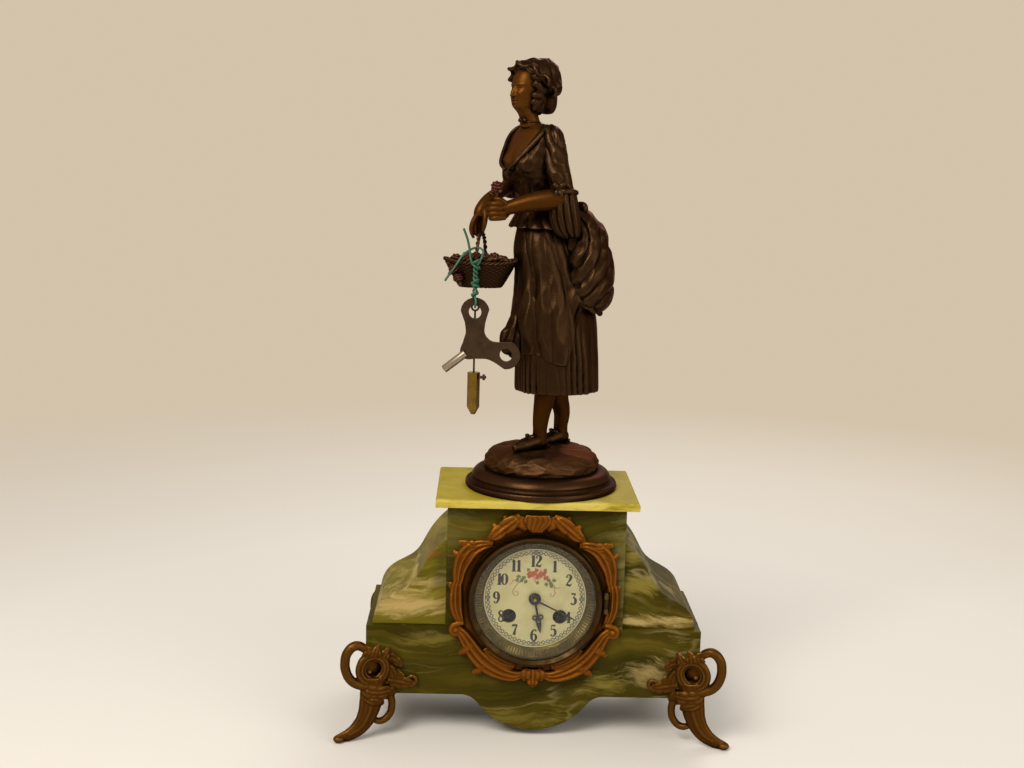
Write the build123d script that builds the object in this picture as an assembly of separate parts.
from build123d import *
from math import acos, atan2, cos, degrees, hypot, pi, radians, sin
import os

os.makedirs("parts", exist_ok=True)

# Clearances
RUNNING = 0.05
SEAT_GAP = 0.3
LOOSE_GAP = 0.5

# Onyx case
BASE_HALF = 134.5
CASE_HALF_DEPTH = 54.0
BASE_BOTTOM = 34.0
BASE_TOP = 91.0
MID_HALF = 71.0
MID_TOP = 191.0
CAVITY_HALF = 59.0
FRONT_SLAB = 18.0
BACK_SLAB = 12.0
LOBE_HALF = 44.0
LOBE_LOW = 5.0
LOBE_SHOULDER = 27.0
WING_SETBACK = 5.0
WING_TOP = 171.0
WING_WAIST = 124.0
WING_INSET = 4.5
TOP_SIDE = 9.5
TOP_THICK = 6.0
TOP_OVERHANG_FRONT = 9.0
TOP_OVERHANG_BACK = 3.0
TOP_BEVEL = 1.2

# Feet
FOOT_INSET = 6.9
REAR_FOOT_SHIFT = 12.0
FOOT_AHEAD = 10.0
FOOT_TURN = 22.0
ROSETTE_Z = 59.3
ROSETTE_R = 10.5
ROSETTE_EYE = 5.5
LEG_HALF_THICK = 6.0
CURL_R = 3.4
LOOP_R = 2.4
PAD_THICK = 6.0
SCREW_R = 2.0
SCREW_HEAD_R = 4.0
SCREW_HEAD = 3.0
SCREW_GRIP = 20.0
SCREW_INSET = 15.5
SCREW_Y = 32.0

# Dial group
DIAL_Z = 115.4
CASE_HOLE_R = 48.5
DIAL_R = 44.0
DIAL_THICK = 1.6
SIGHT_R = 41.0
RING_R = 53.3
RING_THICK = 3.0
BEZEL_R = 53.5
BEZEL_DEEP = 8.7
GLASS_THICK = 1.8
GLASS_R = 49.4
WINDING_X = 20.5
WINDING_DROP = 15.2
WINDING_HOLE_R = 5.8
DIAL_CENTRE_HOLE_R = 3.5
HOUR_ANGLE = 169.8
MINUTE_ANGLE = 116.5
HOUR_LENGTH = 28.6
MINUTE_LENGTH = 36.0
HAND_THICK = 0.8
HINGE_OUT = 2.7
HINGE_PIN_R = 0.9
KNUCKLE_R = 2.2
KNUCKLE_HALF = 3.7
KNUCKLE_END = 8.0
SURROUND_THICK = 6.0
SURROUND_RIDGE = 2.6
DOOR_R = 52.5
DOOR_DEEP = 2.6

# Movement
PLATE_R = 45.5
PLATE_THICK = 2.0
PLATE_GAP = 38.0
FRONT_PLATE_BEHIND_DIAL = 8.7
PILLAR_R = 2.5
PILLAR_RING = 41.0
PILLAR_ANGLES = (17, 60, 120, 163, 270)
DIAL_FOOT_R = 1.3
DIAL_FOOT_RING = 40.5
DIAL_FOOT_ANGLES = (75, 190, 310)
PIVOT_R = 0.7
ARBOR_R = 1.2
THIN_ARBOR_R = 0.75
STUD_R = 1.0
WINDING_ARBOR_R = 2.6
WINDING_SQUARE = 4.2
BARREL_R = 17.5
BARREL_TALL = 20.0
GREAT_TEETH = 76
GREAT_MODULE = 0.5
SECOND_PINION = 12
SECOND_TEETH = 72
SECOND_MODULE = 0.4
CENTRE_PINION = 12
CENTRE_TEETH = 84
CENTRE_MODULE = 0.35
THIRD_PINION = 8
THIRD_TEETH = 80
THIRD_MODULE = 0.3
ESCAPE_PINION = 8
ESCAPE_TEETH = 36
ESCAPE_R = 8.5
CANNON_LEAVES = 12
MINUTE_TEETH = 36
CANNON_MODULE = 0.6
MINUTE_PINION = 10
HOUR_TEETH = 40
RATCHET_TEETH = 24
RATCHET_R = 7.0
PIN_WHEEL_R = 9.0
PIN_COUNT = 10
BELL_R = 30.0
BELL_THICK = 2.0
WHEEL_THICK = 1.0
WHEEL_SHARE = 0.62
PINION_SHARE = 0.54

# Figure and its stand
STAND_X = 4.0
STAND_Y = -3.0
SOCLE_R = 61.4
SOCLE_TOP_R = 49.5
SOCLE_TALL = 15.5
MOUND_R = 47.5
MOUND_TALL = 20.0
BOLT_R = 3.0
BOLT_NUT_R = 7.0
FACING = 55.0
HEAD_FACING = 52.0
FLARE_FACING = 70.0
BUSTLE_FACING = 90.0
HEM_RISE = 46.9
SKIRT_TALL = 141.0
CASTING_WALL = 4.0
BASKET_X = -49.5
BASKET_Y = -14.0
BASKET_DROP = 38.0
BASKET_TALL = 20.0
HANDLE_RISE = 24.0
HANDLE_R = 1.6

# Loose pieces hung on the basket
WIRE_R = 0.9
WIRE_BEND = 2.4
HANG_X = -53.1
HANG_DROP = 33.8
KEY_Y = -31.0
KEY_TURN = -10.0
KEY_THICK = 1.8
KEY_LOBE_R = 11.3
KEY_HOLE_R = 5.2
KEY_WING = 27.0
KEY_WING_SPREAD = 52.5
KEY_AXIS = 38.9
KEY_WAIST = 14.0
KEY_BARREL_R = 3.4
KEY_BARREL_LONG = 34.0
PENDULUM_Y = -26.0
PENDULUM_ROD_R = 0.8
PENDULUM_EYE_R = 2.7
BOB_DROP = 52.8
BOB_TALL = 34.0
BOB_HALF = 5.0

# Derived planes
case_front = -CASE_HALF_DEPTH
case_back = CASE_HALF_DEPTH
cavity_front = case_front + FRONT_SLAB
cavity_back = case_back - BACK_SLAB
top_z = MID_TOP + TOP_THICK
wing_reach = BASE_HALF - WING_INSET
foot_x = BASE_HALF - FOOT_INSET
screw_x = BASE_HALF - SCREW_INSET
ground = top_z + SOCLE_TALL + 0.88 * MOUND_TALL
skirt_hem = ground + HEM_RISE
waist = skirt_hem + SKIRT_TALL
basket_rim = waist - BASKET_DROP
basket_low = basket_rim - BASKET_TALL
hang_z = basket_rim - HANG_DROP
bob_top = hang_z - BOB_DROP
dial_front = case_front + 2.2
dial_back = dial_front + DIAL_THICK
front_plate_front = dial_back + FRONT_PLATE_BEHIND_DIAL
front_plate_back = front_plate_front + PLATE_THICK
back_plate_front = front_plate_back + PLATE_GAP
back_plate_back = back_plate_front + PLATE_THICK
ring_front = case_front - RING_THICK
bezel_back = ring_front - SEAT_GAP
bezel_front = bezel_back - BEZEL_DEEP
glass_front = bezel_front + 3.5
glass_back = glass_front + GLASS_THICK
hinge_x = BEZEL_R + HINGE_OUT
front_hinge_y = bezel_back - 5.2
ring_back = case_back + RING_THICK
rear_hinge_y = ring_back + SEAT_GAP + 3.0

# Centres of the wheels, from the dial's centre
going_at = (WINDING_X, -WINDING_DROP)
strike_at = (-WINDING_X, -WINDING_DROP)
great_reach = GREAT_MODULE * (GREAT_TEETH + SECOND_PINION) / 2
second_reach = SECOND_MODULE * (SECOND_TEETH + CENTRE_PINION) / 2
third_reach = CENTRE_MODULE * (CENTRE_TEETH + THIRD_PINION) / 2
escape_reach = THIRD_MODULE * (THIRD_TEETH + ESCAPE_PINION) / 2
barrel_far = hypot(*going_at)
second_cosine = (second_reach**2 + barrel_far**2 - great_reach**2) / (2 * second_reach * barrel_far)
second_turn = degrees(acos(second_cosine))
second_bearing = degrees(atan2(going_at[1], going_at[0])) + second_turn
second_at = (second_reach * cos(radians(second_bearing)), second_reach * sin(radians(second_bearing)))
pin_at = (-second_at[0], second_at[1])
THIRD_BEARING = 108.0
third_at = (third_reach * cos(radians(THIRD_BEARING)), third_reach * sin(radians(THIRD_BEARING)))
ESCAPE_BEARING = 59.0
escape_at = (
    third_at[0] + escape_reach * cos(radians(ESCAPE_BEARING)),
    third_at[1] + escape_reach * sin(radians(ESCAPE_BEARING)),
)
anchor_at = (escape_at[0], escape_at[1] + 1.4 * ESCAPE_R)
minute_reach = CANNON_MODULE * (CANNON_LEAVES + MINUTE_TEETH) / 2
minute_at = (0.0, minute_reach)
hour_module = 2 * minute_reach / (MINUTE_PINION + HOUR_TEETH)
hammer_at = (-28.0, 20.0)

# Layers of the train between the plates
barrel_front = front_plate_back + 2.5
great_front = barrel_front + BARREL_TALL
great_back = great_front + 2.0
second_layer = great_back + 4.0
centre_layer = second_layer + 4.0
third_layer = barrel_front + 13.0
escape_layer = third_layer + 8.0


# Plain helpers
def block(x0, x1, y0, y1, z0, z1):
    return Pos((x0 + x1) / 2, (y0 + y1) / 2, (z0 + z1) / 2) * Box(x1 - x0, y1 - y0, z1 - z0)


def facing_front(y):
    return Plane(origin=(0, y, 0), x_dir=(1, 0, 0), z_dir=(0, -1, 0))


def slab_of(sketch, y0, y1):
    return extrude(facing_front(y1) * sketch, amount=y1 - y0)


def rod_y(x, z, r, y0, y1):
    return slab_of(Pos(x, z) * Circle(r), y0, y1)


def rod_z(x, y, r, z0, z1):
    return Pos(x, y, z0) * Cylinder(r, z1 - z0, align=(Align.CENTER, Align.CENTER, Align.MIN))


def turned_on_dial(points):
    return Pos(0, 0, DIAL_Z) * revolve(Polygon(*points, align=None), axis=Axis.Y)


def at_dial(spot):
    return spot[0], DIAL_Z + spot[1]


def oval(z, cx, cy, half_width, half_depth, facing=FACING):
    side = (cos(radians(facing)), -sin(radians(facing)), 0)
    return Plane(origin=(cx, cy, z), x_dir=side, z_dir=(0, 0, 1)) * Ellipse(half_width, half_depth)


def oval_loft(sections, facing=FACING, datum=0.0):
    return loft([oval(datum + z, *rest, facing=facing) for z, *rest in sections])


def limb(stations, datum=0.0):
    faces = []
    for i, (x, y, z, r) in enumerate(stations):
        before = stations[max(i - 1, 0)]
        after = stations[min(i + 1, len(stations) - 1)]
        run = Vector(*after[:3]) - Vector(*before[:3])
        faces.append(Plane(origin=(x, y, datum + z), z_dir=run) * Circle(r))
    return loft(faces)


def wire_along(path, r):
    start = Plane(origin=path @ 0, z_dir=path % 0)
    return sweep(start * Circle(r), path=path)


# Onyx slabs
def movement_hole(y0, y1):
    return rod_y(0, DIAL_Z, CASE_HOLE_R, y0, y1)


def lobe_outline():
    drop = BASE_BOTTOM - LOBE_SHOULDER
    sag = LOBE_SHOULDER - LOBE_LOW
    lobe_r = (LOBE_HALF**2 + sag**2) / (2 * sag)
    slope = acos((lobe_r - sag) / lobe_r)
    cove_r = drop / (1 - cos(slope))
    cove_x = LOBE_HALF + cove_r * sin(slope)
    bend_x = cove_x - cove_r * sin(slope / 2)
    bend_z = BASE_BOTTOM - cove_r * (1 - cos(slope / 2))
    edges = [
        Line((-cove_x, BASE_BOTTOM), (cove_x, BASE_BOTTOM)),
        ThreePointArc((cove_x, BASE_BOTTOM), (bend_x, bend_z), (LOBE_HALF, LOBE_SHOULDER)),
        ThreePointArc((LOBE_HALF, LOBE_SHOULDER), (0, LOBE_LOW), (-LOBE_HALF, LOBE_SHOULDER)),
        ThreePointArc((-LOBE_HALF, LOBE_SHOULDER), (-bend_x, bend_z), (-cove_x, BASE_BOTTOM)),
    ]
    return make_face(edges)


def base_front_slab():
    slab = block(-BASE_HALF, BASE_HALF, case_front, cavity_front, BASE_BOTTOM, BASE_TOP)
    slab += slab_of(lobe_outline(), case_front, cavity_front)
    return slab - movement_hole(case_front, cavity_front)


def base_back_slab():
    slab = block(-BASE_HALF, BASE_HALF, cavity_back, case_back, BASE_BOTTOM, BASE_TOP)
    return slab - movement_hole(cavity_back, case_back)


def screw_spots():
    rear_x = screw_x - REAR_FOOT_SHIFT
    return [(-screw_x, -SCREW_Y), (screw_x, -SCREW_Y), (-rear_x, SCREW_Y), (rear_x, SCREW_Y)]


def base_side_block(side):
    inner, outer = sorted((side * CAVITY_HALF, side * BASE_HALF))
    solid = block(inner, outer, cavity_front, cavity_back, BASE_BOTTOM, BASE_TOP)
    for x, y in screw_spots():
        if x * side > 0:
            solid -= rod_z(x, y, SCREW_R, BASE_BOTTOM, BASE_BOTTOM + SCREW_GRIP)
    return solid


def mid_front_slab():
    slab = block(-MID_HALF, MID_HALF, case_front, cavity_front, BASE_TOP, MID_TOP)
    return slab - movement_hole(case_front, cavity_front)


def mid_back_slab():
    slab = block(-MID_HALF, MID_HALF, cavity_back, case_back, BASE_TOP, MID_TOP)
    return slab - movement_hole(cavity_back, case_back)


def mid_side_slab(side):
    inner, outer = sorted((side * CAVITY_HALF, side * MID_HALF))
    return block(inner, outer, cavity_front, cavity_back, BASE_TOP, MID_TOP)


def wing(side):
    span = wing_reach - MID_HALF
    rise = WING_TOP - WING_WAIST
    fall = WING_WAIST - BASE_TOP
    edge = Spline(
        (MID_HALF, WING_TOP), (MID_HALF + 0.17 * span, WING_WAIST + 0.74 * rise),
        (MID_HALF + 0.34 * span, WING_WAIST + 0.36 * rise), (MID_HALF + 0.5 * span, WING_WAIST),
        (MID_HALF + 0.8 * span, WING_WAIST - 0.36 * fall), (wing_reach, BASE_TOP),
        tangents=((1, -1), (0.1, -1)),
    )
    foot = Polyline((wing_reach, BASE_TOP), (MID_HALF, BASE_TOP), (MID_HALF, WING_TOP))
    solid = slab_of(make_face([edge, *foot.edges()]), case_front + WING_SETBACK, case_back)
    return solid if side > 0 else mirror(solid, about=Plane.YZ)


def top_slab():
    y0 = case_front - TOP_OVERHANG_FRONT
    y1 = case_back + TOP_OVERHANG_BACK
    half = MID_HALF + TOP_SIDE
    slab = block(-half, half, y0, y1, MID_TOP, top_z)
    slab = chamfer(slab.faces().sort_by(Axis.Z)[-1].edges(), TOP_BEVEL)
    return slab - rod_z(STAND_X, STAND_Y, BOLT_R, MID_TOP, top_z)


# Cast feet, drawn in the upright plane of the front left one
def foot_plane(shift=0.0):
    turn = radians(FOOT_TURN)
    out = (-cos(turn), -sin(turn), 0)
    back = (-sin(turn), cos(turn), 0)
    ring_y = case_front - FOOT_AHEAD
    spot = (-foot_x + shift * back[0], ring_y + shift * back[1], 0)
    return Plane(origin=spot, x_dir=out, z_dir=back)


def foot_plate(sketch, front, back):
    return extrude(foot_plane(front) * sketch, amount=back - front)


def foot_leg():
    outer = Spline((13, 52), (11.5, 33), (13, 16), (21, 6.5), (31, 3))
    toe = Polyline((31, 3), (31, 0), (15, 0))
    inner = Spline((15, 0), (5, 11), (-8, 25), (-13, 52))
    close = Line((-13, 52), (13, 52))
    return foot_plate(make_face([outer, *toe.edges(), inner, close]), -LEG_HALF_THICK, LEG_HALF_THICK)


def foot_leaf():
    upper = Spline((-36, 43), (-22, 60), (-1, 80), (13, 68))
    lower = Spline((13, 46), (-8, 44), (-36, 43))
    side = Line((13, 68), (13, 46))
    return foot_plate(make_face([upper, side, lower]), -4, 14)


def foot_wire(points, r):
    plane = foot_plane()
    path = Spline(*[plane.from_local_coords((s, z, 0)) for s, z in points])
    return wire_along(path, r)


def foot_front_left():
    rosette = foot_plate(Pos(0, ROSETTE_Z) * Circle(ROSETTE_R), -8, 4)
    foot = foot_leg() + foot_leaf() + rosette
    foot += foot_wire([(3, 73), (14, 80.5), (25, 71), (23, 55), (10, 47)], CURL_R)
    foot += foot_wire([(-6, 38), (-15, 29), (-13, 17), (-4, 13.5), (3, 20)], LOOP_R)
    pad_top = BASE_BOTTOM
    pad_front = case_front - FOOT_AHEAD
    foot += block(-screw_x - 11, -screw_x + 11, pad_front, -SCREW_Y + 9, pad_top - PAD_THICK, pad_top)
    foot -= foot_plate(Pos(0, ROSETTE_Z) * Circle(ROSETTE_EYE), -8, -5)
    foot -= block(-BASE_HALF, BASE_HALF, case_front, case_back, BASE_BOTTOM, BASE_TOP)
    foot -= rod_z(-screw_x, -SCREW_Y, SCREW_R, pad_top - PAD_THICK, pad_top)
    return foot


def foot_back_left(front_foot):
    foot = Pos(REAR_FOOT_SHIFT, 0, 0) * mirror(front_foot, about=Plane.XZ)
    return foot - block(-BASE_HALF, BASE_HALF, case_front, case_back, BASE_BOTTOM, BASE_TOP)


def foot_screws():
    screws = []
    head_z = BASE_BOTTOM - PAD_THICK
    for x, y in screw_spots():
        shank = rod_z(x, y, SCREW_R, head_z, BASE_BOTTOM + SCREW_GRIP)
        screws.append(shank + rod_z(x, y, SCREW_HEAD_R, head_z - SCREW_HEAD, head_z))
    return screws


# Cast surround of leaves and scrolls
def dial_surround():
    half = [
        (0, 72), (10, 71), (17, 66.5), (25, 69.5), (32, 66), (40, 64.5), (50, 67.5), (58, 67.5),
        (66, 63.5), (78, 62), (88, 63.5), (99, 61.5), (108, 66), (115, 67), (123, 63), (134, 66),
        (143, 66.5), (151, 65.5), (159, 69), (166, 67), (173, 70), (180, 73),
    ]
    ring = half + [(360 - turn, r) for turn, r in reversed(half[1:-1])]
    points = [(r * sin(radians(turn)), DIAL_Z + r * cos(radians(turn))) for turn, r in ring]
    rim = make_face(Spline(*points, periodic=True))
    inner_r = BEZEL_R + LOOSE_GAP
    front = case_front - SURROUND_THICK
    ridge_r = inner_r + SURROUND_RIDGE + 1.5
    plate = slab_of(rim, front, case_front)
    plate += Pos(0, front, DIAL_Z) * Rot(90, 0, 0) * Torus(ridge_r, SURROUND_RIDGE)
    plate -= rod_y(0, DIAL_Z, inner_r, front - SURROUND_THICK, case_front)
    notch_z = KNUCKLE_END + 1.0
    notch_x = hinge_x + KNUCKLE_R + 1.0
    notch_y = front - SURROUND_THICK
    return plate - block(0, notch_x, notch_y, case_front, DIAL_Z - notch_z, DIAL_Z + notch_z)


# Dial, its ring, the bezel and the glass
def dial():
    face = slab_of(Pos(0, DIAL_Z) * Circle(DIAL_R), dial_front, dial_back)
    face -= rod_y(0, DIAL_Z, DIAL_CENTRE_HOLE_R, dial_front, dial_back)
    for spot in (going_at, strike_at):
        face -= rod_y(*at_dial(spot), WINDING_HOLE_R, dial_front, dial_back)
    for turn in DIAL_FOOT_ANGLES:
        x, z = DIAL_FOOT_RING * cos(radians(turn)), DIAL_Z + DIAL_FOOT_RING * sin(radians(turn))
        face += rod_y(x, z, DIAL_FOOT_R, dial_back, front_plate_back)
    return face


def hinge_lugs(y_axis, y_seat):
    lugs = None
    y0, y1 = sorted((y_axis, y_seat))
    for low in (-KNUCKLE_END, KNUCKLE_HALF + SEAT_GAP):
        z0 = DIAL_Z + low
        z1 = z0 + KNUCKLE_END - KNUCKLE_HALF - SEAT_GAP
        lug = rod_z(hinge_x, y_axis, KNUCKLE_R, z0, z1)
        lug += block(BEZEL_R + LOOSE_GAP, hinge_x + KNUCKLE_R, y0, y1, z0, z1)
        lugs = lug if lugs is None else lugs + lug
    return lugs - rod_z(hinge_x, y_axis, HINGE_PIN_R, DIAL_Z - KNUCKLE_END, DIAL_Z + KNUCKLE_END)


def hinge_knuckle(y_axis, y_inner, reach):
    y0, y1 = sorted((y_axis, y_inner))
    z0, z1 = DIAL_Z - KNUCKLE_HALF, DIAL_Z + KNUCKLE_HALF
    knuckle = rod_z(hinge_x, y_axis, KNUCKLE_R, z0, z1)
    return knuckle + block(hinge_x - reach, hinge_x, y0, y1, z0, z1)


def knuckle_bore(y_axis):
    return rod_z(hinge_x, y_axis, HINGE_PIN_R + RUNNING, DIAL_Z - KNUCKLE_END, DIAL_Z + KNUCKLE_END)


def dial_ring():
    bore_r = CASE_HOLE_R - SEAT_GAP
    ring = turned_on_dial([
        (bore_r, case_front), (RING_R, case_front), (RING_R, ring_front), (49.5, ring_front),
        (SIGHT_R, dial_front - 0.8), (SIGHT_R, dial_front), (DIAL_R, dial_front),
        (DIAL_R, dial_back), (bore_r, dial_back),
    ])
    z0, z1 = DIAL_Z - KNUCKLE_END, DIAL_Z + KNUCKLE_END
    tie_in = block(RING_R - 1.0, hinge_x + KNUCKLE_R, ring_front, case_front, z0, z1)
    return ring + tie_in + hinge_lugs(front_hinge_y, ring_front)


def bezel():
    lip_r = GLASS_R - 1.2
    seat_r = GLASS_R + 0.2
    ring = turned_on_dial([
        (seat_r + 0.6, bezel_back), (BEZEL_R, bezel_back), (BEZEL_R, bezel_front + 2.4),
        (BEZEL_R - 0.8, bezel_front + 0.8), (BEZEL_R - 2.6, bezel_front), (lip_r + 0.6, glass_front - 1.4),
        (lip_r, glass_front - 1.0), (lip_r, glass_front), (seat_r, glass_front), (seat_r, glass_back),
        (seat_r + 0.6, glass_back),
    ])
    ring += hinge_knuckle(front_hinge_y, front_hinge_y + 2.0, HINGE_OUT + 2.0)
    return ring - knuckle_bore(front_hinge_y)


def glass():
    return slab_of(Pos(0, DIAL_Z) * Circle(GLASS_R), glass_front, glass_back)


def hinge_pins():
    pins = []
    for y in (front_hinge_y, rear_hinge_y):
        pin = rod_z(hinge_x, y, HINGE_PIN_R, DIAL_Z - KNUCKLE_END, DIAL_Z + KNUCKLE_END)
        pins.append(pin + rod_z(hinge_x, y, 1.6, DIAL_Z + KNUCKLE_END, DIAL_Z + KNUCKLE_END + 1.0))
    return pins


def rear_ring():
    bore_r = CASE_HOLE_R - SEAT_GAP
    tube_r = bore_r - 1.3
    ring = turned_on_dial([
        (tube_r, cavity_back), (bore_r, cavity_back), (bore_r, case_back), (RING_R, case_back),
        (RING_R, ring_back), (tube_r, ring_back),
    ])
    for side in (-1, 1):
        x0, x1 = sorted((side * (tube_r - 0.4), side * (bore_r - 0.3)))
        ring += block(x0, x1, dial_back, cavity_back + 1, DIAL_Z - 3, DIAL_Z + 3)
    z0, z1 = DIAL_Z - KNUCKLE_END, DIAL_Z + KNUCKLE_END
    ring += block(RING_R - 1.0, hinge_x + KNUCKLE_R, case_back, ring_back, z0, z1)
    return ring + hinge_lugs(rear_hinge_y, ring_back)


def rear_door():
    back = ring_back + SEAT_GAP
    door = turned_on_dial([
        (0, back + 0.8), (DOOR_R - 6, back + 0.8), (DOOR_R - 5, back), (DOOR_R, back),
        (DOOR_R, back + 1.0), (DOOR_R - 3, back + DOOR_DEEP - 0.6), (0, back + DOOR_DEEP),
    ])
    door += hinge_knuckle(rear_hinge_y, rear_hinge_y - 2.0, HINGE_OUT + 4.0)
    return door - knuckle_bore(rear_hinge_y)


# Hands
def hand_sketch(length, angle, boss_r, waist, tip_at, tip_half):
    arm = Polygon((-waist, 0), (waist, 0), (0.8 * waist, tip_at), (-0.8 * waist, tip_at), align=None)
    leaf = Polygon((-tip_half, tip_at), (tip_half, tip_at), (0.25, length), (-0.25, length), align=None)
    heel = Polygon((-tip_half, tip_at), (0, tip_at - 2.5), (tip_half, tip_at), align=None)
    sketch = Circle(boss_r) + arm + leaf + heel
    return Pos(0, DIAL_Z) * Rot(0, 0, -angle) * sketch


def hour_hand():
    flat = hand_sketch(HOUR_LENGTH, HOUR_ANGLE, 5.0, 0.9, 21.0, 2.2)
    foil = Pos(0, DIAL_Z) * Rot(0, 0, -HOUR_ANGLE) * Pos(0, 15.5)
    lobes = Pos(-2.4, 0) * Circle(2.2) + Pos(2.4, 0) * Circle(2.2) + Pos(0, 3.4) * Circle(2.3)
    eyes = Pos(-2.5, 0) * Circle(1.1) + Pos(2.5, 0) * Circle(1.1) + Pos(0, 3.6) * Circle(1.1)
    flat = flat + foil * lobes - foil * eyes
    flat -= Pos(0, DIAL_Z) * Circle(hour_pipe_r)
    return slab_of(flat, hour_hand_front, hour_hand_front + HAND_THICK)


def minute_hand():
    flat = hand_sketch(MINUTE_LENGTH, MINUTE_ANGLE, 3.4, 0.7, 28.0, 1.2)
    flat -= Pos(0, DIAL_Z) * Circle(cannon_pipe_r)
    return slab_of(flat, minute_hand_front, minute_hand_front + HAND_THICK)


# Toothed wheels, turned about lines along Y
def toothed(teeth, module, phase, share):
    pitch = 360 / teeth
    root_r = module * (teeth / 2 - 1.25)
    tip_r = module * (teeth / 2 + 0.8)
    points = []
    for i in range(teeth):
        mid = phase + i * pitch
        for r, turn in ((root_r, -0.375), (tip_r, -0.14), (tip_r, 0.14), (root_r, 0.375)):
            a = radians(mid + turn * share * pitch)
            points.append((r * cos(a), r * sin(a)))
    return Polygon(*points, align=None)


def wheel_at(spot, teeth, module, phase, y0, y1, share):
    x, z = at_dial(spot)
    return slab_of(Pos(x, z) * toothed(teeth, module, phase, share), y0, y1)


def crossed_out(spot, hub_r, rim_r, arms, y0, y1):
    x, z = at_dial(spot)
    hole_r = min((rim_r - hub_r) / 2, 0.38 * (rim_r + hub_r) / 2 * 2 * sin(pi / arms))
    ring = (rim_r + hub_r) / 2
    holes = None
    for i in range(arms):
        a = 2 * pi * (i + 0.5) / arms
        hole = rod_y(x + ring * cos(a), z + ring * sin(a), hole_r, y0, y1)
        holes = hole if holes is None else holes + hole
    return holes


def bearing(a, b):
    return degrees(atan2(b[1] - a[1], b[0] - a[0]))


def meshed_phase(a, teeth_a, phase_a, b, teeth_b):
    line = bearing(a, b)
    share = (line - phase_a) * teeth_a / 360
    return line + 180 - (0.5 - share) * 360 / teeth_b


def arbor(spot, y0, y1, r=ARBOR_R):
    x, z = at_dial(spot)
    staff = rod_y(x, z, r, y0, y1)
    staff += rod_y(x, z, PIVOT_R, front_plate_front, y0)
    return staff + rod_y(x, z, PIVOT_R, y1, back_plate_back)


shoulder_front = front_plate_back + LOOSE_GAP
shoulder_back = back_plate_front - LOOSE_GAP
cannon_front = front_plate_front - 3.0
cannon_pipe_r = 1.9
hour_pipe_bore = cannon_pipe_r + 0.08
hour_pipe_r = hour_pipe_bore + 0.8
hour_layer = cannon_front - 3.2
hour_hand_front = dial_front - 2.6
minute_hand_front = hour_hand_front - 2.0
arbor_end = minute_hand_front - 1.2

great_phase = 0.0
second_phase_pinion = meshed_phase(going_at, GREAT_TEETH, great_phase, second_at, SECOND_PINION)
second_phase = 0.0
centre_phase_pinion = meshed_phase(second_at, SECOND_TEETH, second_phase, (0, 0), CENTRE_PINION)
centre_phase = 0.0
third_phase_pinion = meshed_phase((0, 0), CENTRE_TEETH, centre_phase, third_at, THIRD_PINION)
third_phase = 0.0
escape_phase_pinion = meshed_phase(third_at, THIRD_TEETH, third_phase, escape_at, ESCAPE_PINION)
pin_phase_pinion = meshed_phase(strike_at, GREAT_TEETH, great_phase, pin_at, SECOND_PINION)
minute_phase = meshed_phase((0, 0), CANNON_LEAVES, 0.0, minute_at, MINUTE_TEETH)
hour_phase = meshed_phase(minute_at, MINUTE_PINION, 0.0, (0, 0), HOUR_TEETH)


def barrel(spot):
    x, z = at_dial(spot)
    drum = rod_y(x, z, BARREL_R, barrel_front, great_front)
    drum += wheel_at(spot, GREAT_TEETH, GREAT_MODULE, great_phase, great_front, great_back, WHEEL_SHARE)
    return drum - rod_y(x, z, WINDING_ARBOR_R + RUNNING, barrel_front, great_back)


def winding_arbor(spot):
    x, z = at_dial(spot)
    staff = rod_y(x, z, WINDING_ARBOR_R, front_plate_front - 0.5, shoulder_back)
    staff += rod_y(x, z, PIVOT_R, shoulder_back, back_plate_back)
    teeth = []
    for i in range(RATCHET_TEETH):
        a = 2 * pi * i / RATCHET_TEETH
        b = 2 * pi * (i + 0.8) / RATCHET_TEETH
        teeth.append((RATCHET_R * cos(a), RATCHET_R * sin(a)))
        teeth.append((0.86 * RATCHET_R * cos(b), 0.86 * RATCHET_R * sin(b)))
    ratchet_front = front_plate_front - 2.0
    staff += slab_of(Pos(x, z) * Polygon(*teeth, align=None), ratchet_front, front_plate_front - 0.5)
    square = Pos(x, z) * Rectangle(WINDING_SQUARE, WINDING_SQUARE)
    return staff + slab_of(square, dial_front - 1.5, ratchet_front)


def ratchet_clicks():
    clicks = []
    for side, spot in ((1, going_at), (-1, strike_at)):
        x, z = at_dial(spot)
        pivot = (x + side * 12.0, z + 4.0)
        tip = (x + side * (RATCHET_R + 0.4), z + 1.0)
        heel = [(pivot[0], pivot[1] - side * 1.8), (pivot[0], pivot[1] + side * 1.8)]
        arm = Polygon(tip, *heel, align=None)
        body = slab_of(Pos(*pivot) * Circle(2.0) + arm, front_plate_front - 2.0, front_plate_front - 0.4)
        clicks.append(body + rod_y(*pivot, 1.2, front_plate_front - 2.6, front_plate_front))
    return clicks


def second_wheel():
    solid = arbor(second_at, shoulder_front, shoulder_back)
    leaves = (great_front - 0.5, great_back + 0.5)
    solid += wheel_at(second_at, SECOND_PINION, GREAT_MODULE, second_phase_pinion, *leaves, PINION_SHARE)
    layer = (second_layer, second_layer + WHEEL_THICK)
    wheel = wheel_at(second_at, SECOND_TEETH, SECOND_MODULE, second_phase, *layer, WHEEL_SHARE)
    return solid + (wheel - crossed_out(second_at, 4.0, 12.5, 5, *layer))


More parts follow.
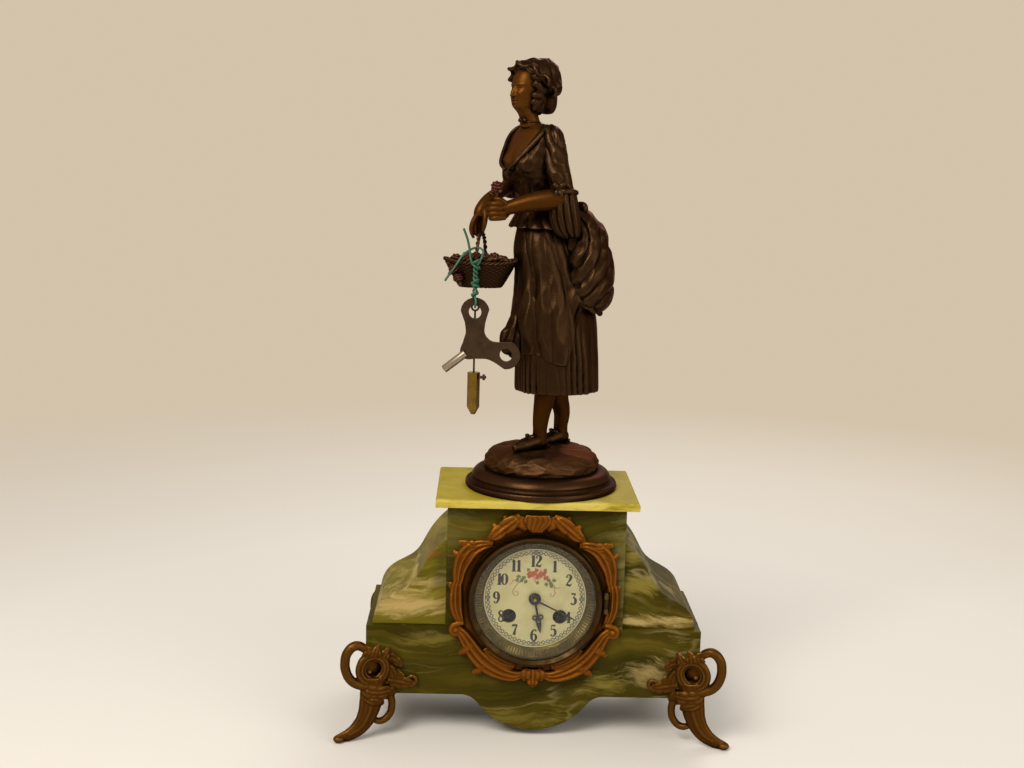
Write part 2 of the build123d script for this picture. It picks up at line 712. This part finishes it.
def centre_wheel():
    spot = (0.0, 0.0)
    x, z = at_dial(spot)
    solid = rod_y(x, z, ARBOR_R, arbor_end, shoulder_back)
    solid += rod_y(x, z, PIVOT_R, shoulder_back, back_plate_back)
    leaves = (second_layer - 0.5, second_layer + 1.5)
    solid += wheel_at(spot, CENTRE_PINION, SECOND_MODULE, centre_phase_pinion, *leaves, PINION_SHARE)
    layer = (centre_layer, centre_layer + WHEEL_THICK)
    wheel = wheel_at(spot, CENTRE_TEETH, CENTRE_MODULE, centre_phase, *layer, WHEEL_SHARE)
    return solid + (wheel - crossed_out(spot, 4.0, 13.0, 5, *layer))


def third_wheel():
    solid = arbor(third_at, shoulder_front, shoulder_back, THIN_ARBOR_R)
    leaves = (centre_layer - 0.5, centre_layer + 1.5)
    solid += wheel_at(third_at, THIRD_PINION, CENTRE_MODULE, third_phase_pinion, *leaves, PINION_SHARE)
    layer = (third_layer, third_layer + WHEEL_THICK)
    wheel = wheel_at(third_at, THIRD_TEETH, THIRD_MODULE, third_phase, *layer, WHEEL_SHARE)
    return solid + (wheel - crossed_out(third_at, 3.0, 10.6, 5, *layer))


def escape_wheel():
    x, z = at_dial(escape_at)
    solid = arbor(escape_at, shoulder_front, shoulder_back, THIN_ARBOR_R)
    leaves = (third_layer - 0.5, third_layer + 1.5)
    solid += wheel_at(escape_at, ESCAPE_PINION, THIRD_MODULE, escape_phase_pinion, *leaves, PINION_SHARE)
    teeth = []
    for i in range(ESCAPE_TEETH):
        a = 2 * pi * i / ESCAPE_TEETH
        b = 2 * pi * (i + 0.45) / ESCAPE_TEETH
        teeth.append((ESCAPE_R * cos(a), ESCAPE_R * sin(a)))
        teeth.append((0.86 * ESCAPE_R * cos(b), 0.86 * ESCAPE_R * sin(b)))
    layer = (escape_layer, escape_layer + WHEEL_THICK)
    wheel = slab_of(Pos(x, z) * Polygon(*teeth, align=None), *layer)
    return solid + (wheel - crossed_out(escape_at, 2.6, 6.4, 5, *layer))


def anchor():
    x, z = at_dial(anchor_at)
    wheel_x, wheel_z = at_dial(escape_at)
    solid = rod_y(x, z, ARBOR_R, shoulder_front, back_plate_back + 5.0)
    solid += rod_y(x, z, PIVOT_R, front_plate_front, shoulder_front)
    layer = (escape_layer - 0.5, escape_layer + 1.5)
    claw_r = ESCAPE_R + 1.2
    claws = Circle(claw_r + 2.2) - Circle(claw_r)
    claws &= Pos(0, claw_r + 1.0) * Rectangle(2.4 * claw_r, 1.3 * claw_r)
    solid += slab_of(Pos(wheel_x, wheel_z) * claws, *layer)
    solid += slab_of(Pos(x, z - 1.0) * Rectangle(3.0, 3.0) + Pos(x, z) * Circle(2.4), *layer)
    crutch_y = back_plate_back + 3.5
    solid += rod_y(x, z, 2.2, crutch_y - 0.8, crutch_y + 1.5)
    solid += rod_z(x, crutch_y + 0.4, 0.9, z - 33.0, z)
    return solid + rod_y(x, z - 32.0, 0.9, crutch_y + 0.4, crutch_y + 5.0)


def cannon_pinion():
    x, z = at_dial((0, 0))
    leaves = (cannon_front, front_plate_front - SEAT_GAP)
    solid = wheel_at((0, 0), CANNON_LEAVES, CANNON_MODULE, 0.0, *leaves, PINION_SHARE)
    solid += rod_y(x, z, cannon_pipe_r, minute_hand_front, cannon_front)
    return solid - rod_y(x, z, ARBOR_R + RUNNING, minute_hand_front, front_plate_front)


def minute_wheel():
    x, z = at_dial(minute_at)
    layer = (cannon_front + 0.2, front_plate_front - SEAT_GAP - 0.4)
    solid = wheel_at(minute_at, MINUTE_TEETH, CANNON_MODULE, minute_phase, *layer, WHEEL_SHARE)
    leaves = (hour_layer - 0.4, cannon_front + 0.2)
    solid += wheel_at(minute_at, MINUTE_PINION, hour_module, 0.0, *leaves, PINION_SHARE)
    return solid - rod_y(x, z, STUD_R + RUNNING, hour_layer - 0.4, front_plate_front)


def hour_wheel():
    x, z = at_dial((0, 0))
    layer = (hour_layer, hour_layer + 1.4)
    solid = wheel_at((0, 0), HOUR_TEETH, hour_module, hour_phase, *layer, WHEEL_SHARE)
    solid += rod_y(x, z, hour_pipe_r, hour_hand_front, hour_layer)
    return solid - rod_y(x, z, hour_pipe_bore, hour_hand_front, hour_layer + 1.4)


def pin_wheel():
    x, z = at_dial(pin_at)
    solid = arbor(pin_at, shoulder_front, shoulder_back)
    leaves = (great_front - 0.5, great_back + 0.5)
    solid += wheel_at(pin_at, SECOND_PINION, GREAT_MODULE, pin_phase_pinion, *leaves, PINION_SHARE)
    solid += rod_y(x, z, PIN_WHEEL_R, second_layer, second_layer + WHEEL_THICK)
    for i in range(PIN_COUNT):
        a = 2 * pi * i / PIN_COUNT
        px, pz = x + 0.83 * PIN_WHEEL_R * cos(a), z + 0.83 * PIN_WHEEL_R * sin(a)
        solid += rod_y(px, pz, 0.6, second_layer - 2.0, second_layer + WHEEL_THICK)
    return solid


def plate(y0, y1, holes):
    disc = rod_y(0, DIAL_Z, PLATE_R, y0, y1)
    for spot, r in holes:
        disc -= rod_y(*at_dial(spot), r, y0, y1)
    return disc


def on_ring(r, turn):
    return r * cos(radians(turn)), r * sin(radians(turn))


def front_plate():
    spots = (second_at, third_at, escape_at, pin_at, hammer_at, anchor_at)
    pivots = [(spot, PIVOT_R + RUNNING) for spot in spots]
    winders = [(spot, WINDING_ARBOR_R + RUNNING) for spot in (going_at, strike_at)]
    feet = [(on_ring(DIAL_FOOT_RING, turn), DIAL_FOOT_R) for turn in DIAL_FOOT_ANGLES]
    centre = [((0, 0), ARBOR_R + RUNNING)]
    disc = plate(front_plate_front, front_plate_back, pivots + winders + feet + centre)
    return disc + rod_y(*at_dial(minute_at), STUD_R, hour_layer - 1.0, front_plate_front)


def back_plate():
    spots = (second_at, third_at, escape_at, pin_at, (0, 0), going_at, strike_at)
    pivots = [(spot, PIVOT_R + RUNNING) for spot in spots]
    staffs = [(spot, ARBOR_R + RUNNING) for spot in (anchor_at, hammer_at)]
    return plate(back_plate_front, back_plate_back, pivots + staffs)


def pillars():
    posts = []
    for turn in PILLAR_ANGLES:
        x, z = at_dial(on_ring(PILLAR_RING, turn))
        posts.append(rod_y(x, z, PILLAR_R, front_plate_back, back_plate_front))
    return posts


bell_mouth = back_plate_back + 12.0
bell_crown = bell_mouth + 20.0
BELL_AT = (0.0, -4.0)


def bell():
    x, z = at_dial(BELL_AT)
    outer = Spline(
        (BELL_R, bell_mouth), (BELL_R - 3, bell_mouth + 9), (13, bell_crown - 2), (0, bell_crown),
    )
    inner_top = bell_crown - BELL_THICK
    inner_r = BELL_R - BELL_THICK
    inner = Spline(
        (0, inner_top), (12, inner_top - 2), (inner_r - 3, bell_mouth + 8), (inner_r, bell_mouth),
    )
    lip = Line((inner_r, bell_mouth), (BELL_R, bell_mouth))
    edges = [outer, Line((0, bell_crown), (0, inner_top)), inner, lip]
    cup = Pos(x, 0, z) * revolve(make_face(edges), axis=Axis.Y)
    cup -= rod_y(x, z, 1.6, bell_mouth, bell_crown + 1)
    post = rod_y(x, z, 2.6, back_plate_back, inner_top)
    post += rod_y(x, z, 1.5, inner_top, bell_crown + 3)
    nut = slab_of(Pos(x, z) * RegularPolygon(3.2, 6), bell_crown + 0.1, bell_crown + 2.6)
    nut -= rod_y(x, z, 1.5, bell_crown, bell_crown + 3)
    return [cup, post, nut]


def hammer():
    x, z = at_dial(hammer_at)
    solid = rod_y(x, z, ARBOR_R, shoulder_front, bell_mouth + 5.0)
    solid += rod_y(x, z, PIVOT_R, front_plate_front, shoulder_front)
    to_pin = radians(bearing(hammer_at, pin_at))
    tail = hypot(pin_at[0] - hammer_at[0], pin_at[1] - hammer_at[1]) - PIN_WHEEL_R - 1.0
    lever = Pos(x, z) * Rot(0, 0, degrees(to_pin)) * Pos(tail / 2, 0) * Rectangle(tail, 2.0)
    solid += slab_of(lever + Pos(x, z) * Circle(2.2), second_layer - 1.6, second_layer - 0.4)
    arm_y = bell_mouth + 3.0
    head_x, head_z = x + 16.0, z + 10.5
    swing = degrees(atan2(head_z - z, head_x - x))
    reach = hypot(head_x - x, head_z - z)
    stem = Pos(x, z) * Rot(0, 0, swing) * Pos(reach / 2, 0) * Rectangle(reach, 1.8)
    solid += slab_of(stem + Pos(x, z) * Circle(2.2), arm_y - 1.0, arm_y + 1.0)
    return solid + rod_y(head_x, head_z, 3.6, arm_y - 4.0, arm_y + 4.0)


# Stand under the figure
def socle():
    low, high = top_z, top_z + SOCLE_TALL
    step = SOCLE_TALL / 3
    neck = SOCLE_R - 4.5
    edges = [
        Line((0, low), (SOCLE_R, low)),
        ThreePointArc((SOCLE_R, low), (SOCLE_R + 0.8, low + 0.5 * step), (SOCLE_R, low + step)),
        ThreePointArc((SOCLE_R, low + step), (neck, low + 1.3 * step), (neck, low + 1.8 * step)),
        ThreePointArc((neck, low + 1.8 * step), (neck - 2, low + 2.5 * step), (SOCLE_TOP_R, high)),
        Line((SOCLE_TOP_R, high), (0, high)),
        Line((0, high), (0, low)),
    ]
    face = Plane.XZ * make_face(edges)
    solid = Pos(STAND_X, STAND_Y, 0) * revolve(face, axis=Axis.Z)
    return solid - rod_z(STAND_X, STAND_Y, BOLT_R, low, high)


def ground_mound():
    low = top_z + SOCLE_TALL
    high = low + MOUND_TALL
    edge = Spline(
        (MOUND_R - 0.8, low), (MOUND_R + 0.5, low + 0.35 * MOUND_TALL),
        (MOUND_R - 4, low + 0.68 * MOUND_TALL), (0.6 * MOUND_R, low + 0.92 * MOUND_TALL), (0, high),
        tangents=((0.2, 1), (-1, 0)),
    )
    face = Plane.XZ * make_face([edge, Line((0, high), (0, low)), Line((0, low), (MOUND_R - 0.8, low))])
    solid = Pos(STAND_X, STAND_Y, 0) * revolve(face, axis=Axis.Z)
    return solid - rod_z(STAND_X, STAND_Y, BOLT_R, low, low + 0.6 * MOUND_TALL)


def figure_fixing():
    bolt = rod_z(STAND_X, STAND_Y, BOLT_R, MID_TOP - 10, top_z + SOCLE_TALL + 0.6 * MOUND_TALL)
    bore = rod_z(STAND_X, STAND_Y, BOLT_R, MID_TOP - 8, MID_TOP)
    washer = rod_z(STAND_X, STAND_Y, 2 * BOLT_NUT_R, MID_TOP - 2, MID_TOP) - bore
    nut = extrude(Pos(STAND_X, STAND_Y, MID_TOP - 8) * RegularPolygon(BOLT_NUT_R, 6), amount=6) - bore
    return [bolt, washer, nut]


# Figure, cast in pieces and soldered together; heights are counted from the waist
def skirt_rows():
    shares = [
        (0, 14.7, -3, 32, 35), (0.2, 14.2, -3.5, 32, 35), (0.425, 11, -4, 31, 36.5), (0.545, 9.5, -3, 30, 32),
        (0.68, 6, -3, 27, 26.5), (0.823, 1, -3, 24, 24.5), (0.908, -0.5, -3, 21, 20), (1, -3, -3, 17.5, 15),
    ]
    return [(skirt_hem + share * SKIRT_TALL, *rest) for share, *rest in shares]


def skirt_hollow():
    return oval_loft([(z, x, y, w - CASTING_WALL, d - CASTING_WALL) for z, x, y, w, d in skirt_rows()[:2]])


def skirt():
    bustle = oval_loft([
        (-77, 37.5, 0, 20, 9.7), (-70, 36.5, 0, 29, 19.2), (-56, 36, 0, 34, 22.6), (-38, 35.5, 0, 33, 21.8),
        (-24, 34, 0, 30, 20.3), (-10, 31.5, 0, 26, 18.2), (0, 27.5, 0, 21, 14.4), (8, 22, 0, 12, 8),
    ], BUSTLE_FACING, waist)
    flare = oval_loft([
        (-114, -10, -13, 9, 16), (-106, -14, -14.5, 9, 20), (-96, -14, -14.5, 9.5, 20.5),
        (-80, -6, -12, 11, 19), (-62, 1, -8, 12, 15),
    ], FLARE_FACING, waist)
    return oval_loft(skirt_rows()) + bustle + flare - skirt_hollow()


def legs():
    pair = []
    knee_z = skirt_hem + 15
    ankle_z = ground + 15.9
    calf_z = (knee_z + ankle_z) / 2
    for knee, ankle, toe in (((5.5, -14), (1.5, -15), (-20, -29)), ((17.5, 7), (19.5, 9), (3, -3))):
        shin = limb([
            (*knee, skirt_rows()[1][0], 8.8), (*knee, knee_z, 8.6), (knee[0] - 1, knee[1], calf_z, 8.0),
            (*ankle, ankle_z, 6.2), (*ankle, ground + 3, 6.4),
        ])
        heel = (ankle[0] + 5, ankle[1] + 3)
        mid = ((heel[0] + toe[0]) / 2, (heel[1] + toe[1]) / 2)
        shoe = limb([
            (*heel, ground + 5, 4.0), (*ankle, ground + 6, 6.6), (*mid, ground + 4, 6.4),
            (*toe, ground + 2, 3.0),
        ])
        pair.append(shin + shoe)
    return [leg - ground_mound() for leg in pair]


def bodice():
    body = oval_loft([
        (0, -3, -3, 17.5, 15), (10, -5, -3, 17.5, 14.5), (22, -8, -3.5, 20, 16.5), (37, -11.5, -5, 23, 20.5),
        (50, -11, -4, 25, 18.5), (63, -9, -3, 24, 13.5), (69.5, -9, -3, 15, 9.5), (73, -10.5, -3.5, 9, 8),
    ], datum=waist)
    peplum = oval_loft([
        (-10, -2, -3.5, 27, 26), (-2, -3, -3.5, 22, 21), (9, -5, -3, 18.5, 15.5),
    ], datum=waist)
    return body + (peplum - skirt())


def left_arm():
    sleeve = limb([
        (0, -15, 65, 8.5), (3.5, -21, 52, 9.3), (8.3, -25.5, 37, 9.2), (13, -28.5, 22, 8.8),
        (15, -29.5, 12, 8.6),
    ], waist)
    ruffle = limb([(13, -30, 20, 8.5), (16, -31, 4, 9.5), (19.5, -32, -16, 5.0)], waist)
    forearm = limb([
        (14, -31, 14, 8), (-8, -33, 12, 6.8), (-28, -33, 9, 4.6), (-36, -32.5, 7.5, 5.2), (-43, -31, 6, 3.0),
    ], waist)
    return sleeve + ruffle + forearm - bodice() - skirt()


def right_arm():
    sleeve = limb([(-19, 12, 64, 9), (-24, 18, 48, 9.5), (-25, 20, 32, 9.2), (-25, 20, 22, 8.4)], waist)
    forearm = limb([
        (-24, 21, 25, 7.0), (-34, 9, 18, 5.6), (-45, -3, 12, 4.4), (-51, -8.5, 4, 4.8), (-55, -11, -6, 4.2),
        (-57, -12.5, -16, 2.6),
    ], waist)
    return sleeve + forearm - bodice() - skirt() - left_arm() - basket()


def head():
    skull = oval_loft([
        (68, -12, -4, 8, 8), (76, -14, -5, 6.8, 7), (81, -16, -6, 7, 8.5), (85, -18, -7, 8.6, 11),
        (92, -16.5, -6, 11, 13.4), (101, -14.5, -5.5, 12.5, 15), (110, -13, -5, 11.5, 14),
        (116, -12, -4.5, 8, 10), (119, -11.5, -4, 4, 5),
    ], HEAD_FACING, waist)
    hair = oval_loft([
        (79, 0, 2, 6, 5), (85, -1, 1.5, 10, 8), (95, -2, 1, 11.5, 9), (104, -3, 0, 11, 9),
    ], HEAD_FACING, waist)
    return skull + hair - bodice()


def mob_cap():
    crown = oval_loft([
        (87, 0, 0, 11, 10), (94, -3, -0.5, 15, 14), (100, -7, -2.5, 17.5, 19.5), (106, -10, -4, 18.5, 22),
        (113, -10, -4, 17.5, 20.5), (119, -7.5, -3, 14, 15), (123.5, -5.5, -2, 7.5, 8),
    ], HEAD_FACING, waist)
    face_way = (-sin(radians(HEAD_FACING)), -cos(radians(HEAD_FACING)), -1.15)
    opening = Box(120, 120, 60, align=(Align.CENTER, Align.CENTER, Align.MIN))
    cut = Plane(origin=(-14, -5, waist + 101.5), z_dir=face_way) * opening
    ruffle = oval_loft([
        (97, -9.5, -4, 18, 21), (103, -11, -4.5, 20.5, 25), (111, -11.5, -5, 19.5, 24),
        (117, -11, -4.5, 15, 19),
    ], HEAD_FACING, waist)
    return crown + ruffle - cut - head()


def basket_form(shrink, low):
    return loft([
        Pos(BASKET_X, BASKET_Y, low) * Ellipse(17 - shrink, 9 - shrink),
        Pos(BASKET_X, BASKET_Y, basket_rim) * Ellipse(29.5 - shrink, 14 - shrink),
    ])


def basket():
    shell = basket_form(0, basket_low) - basket_form(2, basket_low + 2)
    near = (BASKET_X - 3.6, BASKET_Y - 12.6, basket_rim - 1)
    top = (BASKET_X, BASKET_Y, basket_rim + HANDLE_RISE)
    far = (BASKET_X + 3.6, BASKET_Y + 12.6, basket_rim - 1)
    return shell + wire_along(ThreePointArc(near, top, far), HANDLE_R)


def flowers():
    heap = basket_form(2, basket_low + 2)
    for x, y, z, r in (
        (-69, -13, 2, 5.2), (-61, -18, 3, 5), (-60, -9, 4, 5), (-40, -18, 3, 5), (-39, -9, 4, 5.2),
        (-31, -14, 2, 4.6), (-71, -21, -5, 4.4), (-67, -25, -13, 4),
    ):
        heap += Pos(x, y, basket_rim + z) * Sphere(r)
    heap -= basket()
    stem = limb([(-37.5, -32, 10, 1.3), (-38, -31.5, 19, 1.2)], waist) - left_arm()
    rose = stem + Pos(-38.2, -31.5, waist + 22) * Sphere(4.8) - left_arm()
    return [heap, rose]


# Winding key, pendulum and the wire they hang on
def key():
    back = radians(KEY_AXIS)
    lobe_z = hang_z + WIRE_R + SEAT_GAP - KEY_HOLE_R
    upper = back + radians(KEY_WING_SPREAD)
    lower = back - radians(KEY_WING_SPREAD)
    hub = Vector(0, lobe_z) - Vector(KEY_WING * cos(upper), KEY_WING * sin(upper))
    far = hub + Vector(KEY_WING * cos(lower), KEY_WING * sin(lower))
    flat = Pos(hub.X, hub.Y) * Circle(0.75 * KEY_WAIST)
    for lobe in (Vector(0, lobe_z), far):
        way = degrees(atan2(lobe.Y - hub.Y, lobe.X - hub.X))
        flat += Pos(hub.X, hub.Y) * Rot(0, 0, way) * Pos(KEY_WING / 2, 0) * Rectangle(KEY_WING, KEY_WAIST)
        flat += Pos(lobe.X, lobe.Y) * Circle(KEY_LOBE_R)
    for lobe in (Vector(0, lobe_z), far):
        flat -= Pos(lobe.X, lobe.Y) * Circle(KEY_HOLE_R)
    plate_solid = slab_of(flat, -KEY_THICK / 2, KEY_THICK / 2)
    line = Vector(-cos(back), 0, -sin(back))
    foot = Plane(origin=(hub.X, 0, hub.Y), z_dir=line)
    long = (Align.CENTER, Align.CENTER, Align.MIN)
    barrel_solid = foot.offset(4) * Cylinder(KEY_BARREL_R, KEY_BARREL_LONG - 4, align=long)
    bore = foot.offset(KEY_BARREL_LONG - 14) * Box(WINDING_SQUARE, WINDING_SQUARE, 14, align=long)
    solid = plate_solid + barrel_solid - bore
    return Pos(HANG_X, KEY_Y, 0) * Rot(0, 0, KEY_TURN) * solid


def pendulum():
    eye_in = PENDULUM_EYE_R - PENDULUM_ROD_R
    eye_z = hang_z + WIRE_R + SEAT_GAP - eye_in
    x = HANG_X
    solid = Pos(x, PENDULUM_Y, eye_z) * Rot(90, 0, 0) * Torus(PENDULUM_EYE_R, PENDULUM_ROD_R)
    solid += rod_z(x, PENDULUM_Y, PENDULUM_ROD_R, bob_top - 6, eye_z - PENDULUM_EYE_R)
    low = bob_top - BOB_TALL
    shaft = Plane(origin=(x, PENDULUM_Y, low + 6)) * RegularPolygon(BOB_HALF, 6)
    tip = Plane(origin=(x, PENDULUM_Y, low)) * RegularPolygon(0.35 * BOB_HALF, 6)
    solid += extrude(shaft, amount=BOB_TALL - 6) + loft([tip, shaft])
    screw = Plane(origin=(x, PENDULUM_Y, bob_top - 4), z_dir=(1, 0, 0))
    solid += extrude(screw * Circle(1.2), amount=BOB_HALF + 5)
    return solid + extrude(screw.offset(BOB_HALF + 2) * Circle(2.4), amount=2)


def wire_tie():
    y_front = KEY_Y - KEY_THICK - WIRE_BEND
    y_back = PENDULUM_Y + PENDULUM_ROD_R + WIRE_BEND + LOOSE_GAP
    run = [
        (-77.4, -31.5, -13.8), (-70, -31, -3), (-60, -26.85, 9.5), (-49, -25.85, 11.5), (-49.6, -31.8, 1),
        (-51.2, -32, -14), (HANG_X, y_front, -24), (HANG_X, y_front, -HANG_DROP),
        (HANG_X, y_back, -HANG_DROP), (-54.4, y_back, -27.5), (-55.8, -31, -18), (-56.6, -31.5, 1),
        (-58, -30.8, 11), (-62.5, -31, 27.5),
    ]
    points = [(x, y, basket_rim + z) for x, y, z in run]
    radii = []
    for before, here, after in zip(points, points[1:], points[2:]):
        a = Vector(*here) - Vector(*before)
        b = Vector(*after) - Vector(*here)
        half = radians(a.get_angle(b)) / 2
        radii.append(min(WIRE_BEND, 0.45 * min(a.length, b.length) * cos(half) / sin(half)))
    return wire_along(FilletPolyline(*points, radius=radii), WIRE_R)


# One file for every piece
front_left = foot_front_left()
back_left = foot_back_left(front_left)
pieces = {
    "base_front_slab": base_front_slab(),
    "base_back_slab": base_back_slab(),
    "base_left_block": base_side_block(-1),
    "base_right_block": base_side_block(1),
    "mid_front_slab": mid_front_slab(),
    "mid_back_slab": mid_back_slab(),
    "mid_left_slab": mid_side_slab(-1),
    "mid_right_slab": mid_side_slab(1),
    "left_wing": wing(-1),
    "right_wing": wing(1),
    "top_slab": top_slab(),
    "foot_front_left": front_left,
    "foot_front_right": mirror(front_left, about=Plane.YZ),
    "foot_back_left": back_left,
    "foot_back_right": mirror(back_left, about=Plane.YZ),
    "foot_screws": foot_screws(),
    "dial_surround": dial_surround(),
    "dial": dial(),
    "dial_ring": dial_ring(),
    "bezel": bezel(),
    "glass": glass(),
    "hinge_pins": hinge_pins(),
    "rear_ring": rear_ring(),
    "rear_door": rear_door(),
    "hour_hand": hour_hand(),
    "minute_hand": minute_hand(),
    "front_plate": front_plate(),
    "back_plate": back_plate(),
    "pillars": pillars(),
    "going_barrel": barrel(going_at),
    "strike_barrel": barrel(strike_at),
    "going_winding_arbor": winding_arbor(going_at),
    "strike_winding_arbor": winding_arbor(strike_at),
    "ratchet_clicks": ratchet_clicks(),
    "second_wheel": second_wheel(),
    "centre_wheel": centre_wheel(),
    "third_wheel": third_wheel(),
    "escape_wheel": escape_wheel(),
    "anchor": anchor(),
    "cannon_pinion": cannon_pinion(),
    "minute_wheel": minute_wheel(),
    "hour_wheel": hour_wheel(),
    "pin_wheel": pin_wheel(),
    "bell": bell(),
    "hammer": hammer(),
    "socle": socle(),
    "ground_mound": ground_mound(),
    "figure_fixing": figure_fixing(),
    "legs": legs(),
    "skirt": skirt(),
    "bodice": bodice(),
    "left_arm": left_arm(),
    "right_arm": right_arm(),
    "head": head(),
    "mob_cap": mob_cap(),
    "basket": basket(),
    "flowers": flowers(),
    "key": key(),
    "pendulum": pendulum(),
    "wire_tie": wire_tie(),
}

for name, piece in pieces.items():
    shape = Compound(children=piece) if isinstance(piece, list) else piece
    export_step(shape, f"parts/{name}.step")
